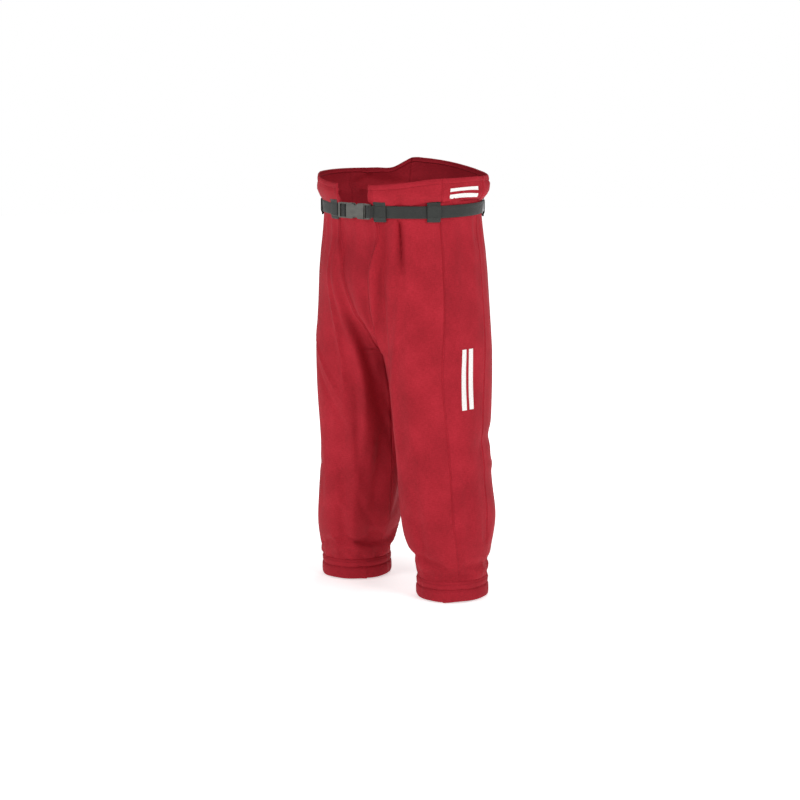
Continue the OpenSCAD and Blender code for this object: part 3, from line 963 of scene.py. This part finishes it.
# Section of the turned-up casing: (out from the leg, up from the hem) in mm
CUFF_SECTION = [
    (-0.5, 35.2), (0.5, 34.4), (1.2, 32.5), (1.6, 29.5), (1.6, 25.5), (1.2, 22.5), (0.3, 21.0), (0.2, 20.4),
    (1.3, 19.6), (2.1, 17.5), (2.4, 14.0), (2.5, 9.5), (2.4, 5.5), (2.0, 2.4), (1.1, 0.6), (0.0, 0.1),
    (-1.1, 0.7), (-1.8, 2.6), (-2.1, 6.0), (-2.3, 12), (-2.4, 20), (-2.3, 28), (-2.0, 33.6), (-1.4, 34.9),
]


def turned(a, b):
    """The angle from b to a, between -pi and pi."""
    return (a - b + math.pi) % math.tau - math.pi


def cuff(half, fold_at, tick_at, seed):
    """A gathered casing whose ends overlap at the angle fold_at, with a short tick of a seam at tick_at."""
    side, rng = SIDES[half], np.random.default_rng(seed)
    count = 240
    lx, la, lb, back = leg(np.array(CUFF_TOP), side)
    gathers = [
        (rng.uniform(0, math.tau), rng.uniform(0.05, 0.11), rng.uniform(-0.75, 0.65)) for _ in range(34)
    ]
    verts, uv = [], []
    for k in range(count):
        g = math.tau * (k / count) - math.pi
        pull = 0
        for at, width, height in gathers:
            pull += height * math.exp(-((turned(g, at) / width) ** 2))
        from_fold = turned(g, fold_at)
        step = 1.1 * ease((from_fold + 0.012) / 0.024) * math.exp(-max(from_fold, 0) / 0.35)
        from_tick = turned(g, tick_at)
        for out, up in CUFF_SECTION:
            lower = 1 - float(ease((up - 19) / 2.5))
            outer = 1 if out > -1.2 else 0.35
            dent = pull * outer * (0.55 + 0.45 * math.sin(math.pi * min(up, 35) / 35))
            reach = out + dent + step * lower * outer
            reach -= 0.8 * math.exp(-((from_fold / 0.018) ** 2)) * lower * outer
            reach -= 0.7 * math.exp(-((from_tick / 0.02) ** 2)) * lower * outer
            drop = -0.9 * step * lower + 0.5 * math.sin(3 * g + seed) + 0.35 * math.sin(7 * g)
            r = reach * MM
            x = side * (lx + (la + r) * math.cos(g))
            y = (lb + r) * math.sin(g) + back
            verts.append((x, y, HEM_Z + up * MM + drop * MM * (1 - up / 35.2)))
            uv.append((g * (la + lb) / 2, up * MM))
    size = len(CUFF_SECTION)
    faces = []
    for k in range(count):
        for i in range(size):
            a, b = k * size + i, k * size + (i + 1) % size
            c, d = (k + 1) % count * size + (i + 1) % size, (k + 1) % count * size + i
            faces.append([a, b, c, d][::side])
    obj = dress(build(f"cuff_casing_{half}", verts, faces, uv, crease=65), HEM)
    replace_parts(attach(obj, half + "_leg"), "cuff_" + half, "cuff_elastic_" + half)
    points = np.array(verts).reshape(count, size, 3)
    runs = []
    for i in (3, 6):
        line = np.concatenate([points[:, i], points[:1, i]])
        centre = np.array([side * lx, back, 0])
        up = unit((line - centre) * (1, 1, 0))
        runs.append((line + up * 0.15 * MM, up))
    stitches = dress(thread(f"cuff_stitches_{half}", runs), YARN)
    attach(stitches, half + "_leg")


cuff("left", -1.126, -0.28, 3)
cuff("right", -2.627, -0.9, 8)


# ---- seam and hem stitching

def seam_run(half, k, z0, z1, aside):
    """Points and normals beside seam k, from z0 down to z1."""
    z = np.arange(z0, z1, -3 * MM)
    s = seams(z)[k] + aside * MM / half_round(z)
    return on_cloth(half, s, z, STITCH_OUT)


def hem_run(half, s0, s1, count):
    """Points and normals along the waist hem's seam."""
    s = np.linspace(s0, s1, count)
    return on_cloth(half, s, top_edge(s, SIDES[half]) - HEM_SEAM * MM, STITCH_OUT)


for half in SIDES:
    top_runs = [hem_run(half, SLOT_S + 0.0005, RAISE_S, 130), hem_run(half, RAISE_S + 0.001, 1.0, 40)]
    z = np.linspace(0.012, 0.041, 14)
    top_runs.append(on_cloth(half, SLOT_S + HEM_SEAM / WAIST_HALF_MM + 0 * z, z, STITCH_OUT))
    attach(dress(thread(f"waist_stitches_{half}", top_runs), YARN), "hips")
    centre_runs = [seam_run(half, 1, -0.014, -0.228, 3.0), seam_run(half, 1, -0.014, -0.228, -2.2)]
    centre_runs.append(seam_run(half, 4, 0.055, -0.225, -3.0))
    hang(dress(thread(f"rise_stitches_{half}", centre_runs), YARN))
    side_runs = [seam_run(half, 3, 0.045, -0.608, 2.6), seam_run(half, 2, 0.045, -0.608, 2.6)]
    hang(dress(thread(f"side_stitches_{half}", side_runs, radius=0.26 * MM), YARN))


# ---- belt and loops

def round_waist(angle, out):
    """Points of the waist ellipse, out metres off the shell, and their outward normals."""
    angle = np.asarray(angle, float)
    a, b = WAIST_A + out, WAIST_B + out
    spot = np.stack([a * np.cos(angle), b * np.sin(angle), 0 * angle], axis=-1)
    normal = np.stack([b * np.cos(angle), a * np.sin(angle), 0 * angle], axis=-1)
    return spot, unit(normal)


def path_normals(path):
    """Normals in the XY plane of a path, on its right."""
    way = unit(np.gradient(path, axis=0))
    return np.stack([way[:, 1], -way[:, 0], 0 * way[:, 0]], axis=1)


def smooth_path(points, count):
    """Evenly spaced points on a smooth curve through the given ones."""
    points = np.array(points, float)
    run = distances(points)
    t = np.linspace(0, run[-1], count)
    return np.stack([curve(t, list(zip(run, points[:, a]))) for a in range(points.shape[1])], axis=1)


UP = np.array([0.0, 0.0, 1.0])
STRAP_OUT = WEB_GAP + WEB_T / 2
BELT_START_X, BELT_END_X = 47.5 * MM, -14 * MM
buckle_y = (housing_low[1] + housing_high[1]) / 2

first_angle = math.asin(BELT_START_X / WAIST_A) - math.pi / 2
last_angle = math.asin(BELT_END_X / WAIST_A) + 1.5 * math.pi
angles = np.linspace(first_angle, last_angle, 170)
around, facing = round_waist(angles, STRAP_OUT)
lead = smooth_path(
    [(38.9 * MM, buckle_y + 4.9 * MM), (42.5 * MM, buckle_y + 7.1 * MM), tuple(around[0][:2])], 7
)[:-1]
path = np.concatenate([np.column_stack([lead, 0 * lead[:, 0]]), around])
path[:, 2] += 0.45 * MM * np.sin(3 * np.arctan2(path[:, 1], path[:, 0]) + 0.8)
tilt = 0.05 * np.sin(4 * np.arctan2(path[:, 1], path[:, 0]))
normals = path_normals(path)
webbing = strip("belt_strap", path, normals, UP + normals * tilt[:, None], WEB_W, WEB_T)
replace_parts(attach(dress(webbing, STRAP), "hips"), "belt_webbing")


def belt_loop(name, angle, seed):
    """A tape sewn over the belt, above and below it; returns the runs of its bar tacks."""
    angle = math.radians(angle)
    (p, n), rng = round_waist(angle, 0.0), np.random.default_rng(seed)
    aside = np.cross(UP, n)
    half = "left" if p[0] >= 0 else "right"
    s_mid = (angle if half == "left" else math.pi - angle) / math.pi + 0.5
    s = np.clip(s_mid + np.array([-0.022, -0.011, 0, 0.011, 0.022]), 0, 1)
    route = [(0.8, 12.6), (0.8, 14.2), (1.0, 15.3), (1.6, 15.9), (2.1, 15.3), (2.2, 13.8), (2.4, 12.4),
            (2.9, 11.2), (3.5, 10.3), (3.75, 8), (3.8, 4), (3.8, 0)]
    route += [(out, -z) for out, z in route[-2::-1]]
    centres = []
    for out, z in route:
        ground, _ = on_cloth(half, s, z * MM)
        base = max(0.0, float(((ground - p) @ n).max())) if abs(z) > 10.6 else 0.0
        centres.append(p + n * (max(base, 0.0005) + out * MM) + UP * z * MM)
    centres = smooth_path(centres, 58)
    outward_of = np.cross(aside, unit(np.gradient(centres, axis=0)))
    skew = aside + UP * rng.uniform(-0.03, 0.03)
    obj = strip(name, centres, outward_of, skew, LOOP_WIDTH, 1.3 * MM, bulge=-0.25)
    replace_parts(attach(dress(obj, LOOP), "hips"), name)
    rows = []
    z_of = centres[:, 2]
    front = np.arange(16, 42)
    for z in (14.8, 13.2, -13.2, -14.8):
        k = front[np.argmin(np.abs(z_of[front] - z * MM))]
        across = np.linspace(-0.44, 0.44, 12)[:, None] * LOOP_WIDTH
        rows.append((centres[k] + aside * across + n * 0.75 * MM, np.repeat(n[None], 12, 0)))
    return rows


tacks = []
LOOPS = {  # angles round the waist, from the wearer's left over the back
    "belt_loop_front_left": -70, "belt_loop_front_right": 250, "belt_loop_side_left": -32,
    "belt_loop_side_right": 212, "belt_loop_rear_left": 36, "belt_loop_rear_right": 144, "belt_loop_back": 90,
}
for seed, (name, angle) in enumerate(LOOPS.items()):
    tacks += belt_loop(name, angle, seed)
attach(dress(thread("belt_loop_bartacks", tacks, 1.9 * MM, 1.6 * MM, 0.3 * MM), BLACK_YARN), "hips")


# ---- webbing round the buckle's bars

def turn(name, points, width, body, cad_node):
    """Webbing folded round a bar of the buckle, through (x, y) points in mm."""
    route = smooth_path([(x * MM, buckle_y + y * MM) for x, y in points], 64)
    route = np.column_stack([route, 0 * route[:, 0]])
    obj = strip(name, route, path_normals(route), UP, width, 1.15 * MM)
    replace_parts(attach(dress(obj, STRAP), body), cad_node)


turn("strap_round_housing_bar",
     [(39.6, 4.4), (38.9, 2.0), (38.5, -0.8), (37.9, -2.6), (36.6, -3.55), (33.9, -3.8), (31.4, -3.45),
      (30.35, -2.2), (30.1, 0), (30.4, 2.2), (31.5, 3.3), (34.0, 3.5), (37.0, 3.8), (39.4, 4.9)],
     WEB_W - 0.6 * MM, "hips", "housing_webbing_turn")
turn("strap_round_adjuster_bar",
     [(-20.8, 1.95), (-23.0, 1.95), (-24.3, 1.3), (-24.6, 0), (-24.2, -1.4), (-22.9, -2.05), (-20, -2.25),
      (-17.1, -2.05), (-15.9, -1.3), (-15.6, 0), (-15.9, 1.3), (-17.0, 1.95), (-19.6, 1.95)],
     WEB_W - 0.6 * MM, "buckle_insert", "adjuster_webbing_turn")


# ---- buckle

for name in ("buckle_housing", "buckle_insert", "buckle_prong_upper", "buckle_prong_lower"):
    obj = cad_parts[name]
    obj.data.materials.clear()
    obj.data.materials.append(PLASTIC)
    bevel = obj.modifiers.new("moulded edges", "BEVEL")
    bevel.width = 0.45 * MM
    bevel.segments = 2
    bevel.limit_method = "ANGLE"
    bevel.angle_limit = math.radians(40)


# ---- plain white stripes

def stripe(name, half, s_range, z_range):
    """A thin printed bar that lies on the cloth, across s_range and z_range."""
    nu, nv = 10, 40
    u, v = np.meshgrid(np.linspace(0, 1, nu + 1), np.linspace(0, 1, nv + 1))
    s = s_range[0] + (s_range[1] - s_range[0]) * u
    z = z_range[0] + (z_range[1] - z_range[0]) * v
    points, raised = on_cloth(half, s, z, 0.16 * MM)
    verts = points.reshape(-1, 3)
    faces = []
    for j in range(nv):
        for i in range(nu):
            a = j * (nu + 1) + i
            faces.append([a, a + nu + 1, a + nu + 2, a + 1][:: SIDES[half]])
    if (vertex_normals(verts, faces) * raised.reshape(-1, 3)).sum() < 0:
        faces = [f[::-1] for f in faces]
    verts, faces = closed(verts, faces, 0.12 * MM)
    uv = np.stack([s * 0.5, z], axis=-1).reshape(-1, 2)
    return dress(build(name, verts, faces, np.tile(uv, (2, 1))), FILM)


for n, (s0, s1) in enumerate([(0.441, 0.457), (0.467, 0.483)]):
    hang(stripe(f"side_stripe_{n}", "left", (s0, s1), (-0.325, -0.225)))
for n, (z0, z1) in enumerate([(0.0255, 0.0315), (0.0365, 0.0425)]):
    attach(stripe(f"waist_stripe_{n}", "left", (0.385, 0.54), (z0, z1)), "hips")


# ---- stage

FLOOR_R, FLOOR_SIDES, FLOOR_Z = 7, 64, HEM_Z - 2.2 * MM
corners = [math.tau * k / FLOOR_SIDES for k in range(FLOOR_SIDES)]
disc = bpy.data.meshes.new("floor")
disc.from_pydata(
    [(FLOOR_R * math.cos(a), FLOOR_R * math.sin(a), FLOOR_Z) for a in corners], [], [list(range(FLOOR_SIDES))]
)
floor = link(bpy.data.objects.new("floor", disc))
pale, tree, shader = new_material("pale_floor", Roughness=0.7, Specular_IOR_Level=0.2)
dust = noise(tree, node(tree, "TexCoord").outputs["Object"], 3.0, 4.0)
grey = ramp(tree, dust, [(0.3, (0.86, 0.86, 0.86)), (0.7, (0.9, 0.9, 0.9))])
feed(shader, Base_Color=grey)
# away from the pants the floor glows, so that it meets the white world without an edge
shader.inputs["Emission Color"].default_value = (1, 1, 1, 1)
away = node(tree, "VectorMath", {0: node(tree, "TexCoord").outputs["Object"]}, operation="LENGTH")
glow = ramp(tree, away.outputs["Value"], [(0.35, (0.22, 0.22, 0.22)), (1.0, (1.0, 1.0, 1.0))])
feed(shader, Emission_Strength=glow)
floor.data.materials.append(pale)

# The world looks white to the camera but lights the scene only softly
world = bpy.data.worlds.new("soft_white")
world.use_nodes = True
sky = world.node_tree.nodes["Background"]
sky.inputs["Color"].default_value = (1, 1, 1, 1)
seen = node(world.node_tree, "LightPath").outputs["Is Camera Ray"]
world.node_tree.links.new(spread_of(world.node_tree, seen, 0.16, 1.0), sky.inputs["Strength"])
bpy.context.scene.world = world
bpy.context.scene.view_settings.view_transform = "Standard"


def place(azimuth, elevation, distance, centre):
    """A point at these angles and distance from centre, and the way there; azimuth 0 is the front."""
    azimuth, elevation = math.radians(azimuth), math.radians(elevation)
    level = math.cos(elevation)
    way = Vector((math.sin(azimuth) * level, -math.cos(azimuth) * level, math.sin(elevation)))
    return Vector(centre) + way * distance, way


def softbox(name, azimuth, elevation, distance, size, power):
    """A round lamp that faces the middle of the pants."""
    light = bpy.data.lights.new(name, "AREA")
    light.shape, light.size, light.energy = "DISK", size, power
    obj = link(bpy.data.objects.new(name, light))
    obj.location, way = place(azimuth, elevation, distance, MIDDLE)
    obj.rotation_euler = way.to_track_quat("Z", "Y").to_euler()


MIDDLE = (0, 0, -0.286)
softbox("key", 84, 32, 3.2, 1.3, 44)
softbox("fill", -16, 26, 3.4, 1.6, 36)
softbox("rim", 205, 50, 3.0, 1.6, 22)

camera = bpy.data.cameras.new("camera")
camera.lens, camera.sensor_width = 94, 36
eye = link(bpy.data.objects.new("camera", camera))
spot, way = place(41, 10.5, 3.55, MIDDLE)
look = way.to_track_quat("Z", "Y")
right, above = look @ Vector((1, 0, 0)), look @ Vector((0, 1, 0))
eye.location = spot - right * 0.006 - above * 0.045
eye.rotation_euler = (look @ Matrix.Rotation(math.radians(-0.4), 4, "Z").to_quaternion()).to_euler()
bpy.context.scene.camera = eye
